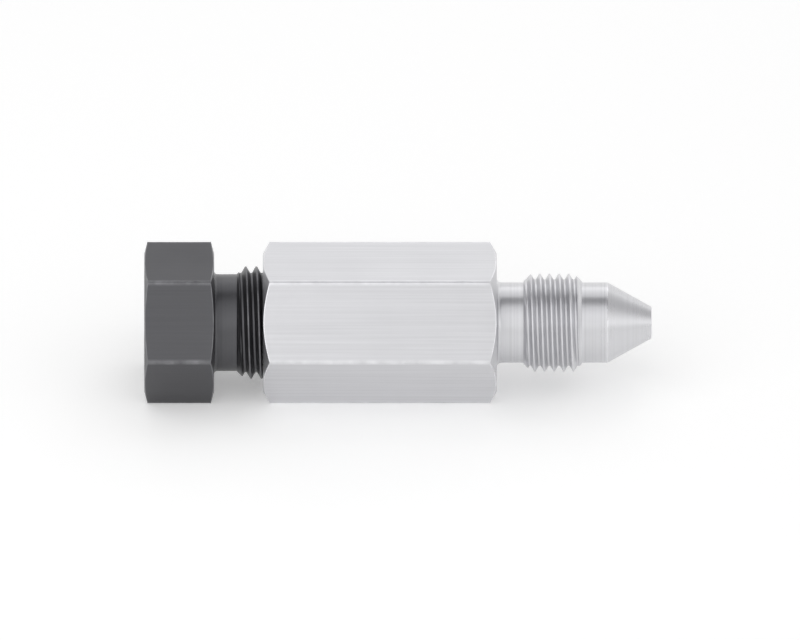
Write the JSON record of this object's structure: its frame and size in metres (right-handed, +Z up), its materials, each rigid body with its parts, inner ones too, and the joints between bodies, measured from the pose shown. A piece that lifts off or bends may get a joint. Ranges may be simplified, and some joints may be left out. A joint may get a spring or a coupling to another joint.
{
  "type": "medium pressure adapter fitting",
  "caption": "Straight steel tube adapter: hexagon body with a threaded, coned male nose and a gland nut that presses nested ferrules onto a tube.",
  "frame": {"origin": "on the flow axis, halfway along the whole fitting", "axes": "+X along the flow axis and out of the coned nose, -X out of the nut's tube end, +Z up and square to a flat of both hexagons"},
  "size_m": [0.0574, 0.0184, 0.0158],
  "materials": {
    "body_steel": "turned and milled stainless steel",
    "nut_steel": "darker turned and milled steel with a dry lubricant coat",
    "front_ferrule_steel": "fine turned steel",
    "back_ferrule_steel": "fine turned bright steel"
  },
  "bodies": {
    "fitting_body": {"adapter_body": "body_steel"},
    "ferrule_set": {"front_ferrule": "front_ferrule_steel", "back_ferrule": "back_ferrule_steel"},
    "nut": {"gland_nut": "nut_steel"}
  },
  "joints": [
    {"name": "ferrule_travel", "type": "slide", "parent": "fitting_body", "child": "ferrule_set", "axis": [1, 0, 0], "range_m": [-0.0046, 0]},
    {"name": "nut_turn", "type": "hinge", "parent": "ferrule_set", "child": "nut", "pos_m": [-0.02, 0, 0], "axis": [1, 0, 0], "range_deg": [-1381, 0]}
  ],
  "couplings": [
    {"joint": "nut_turn", "follows": "ferrule_travel", "rad_per_m": 5236}
  ]
}
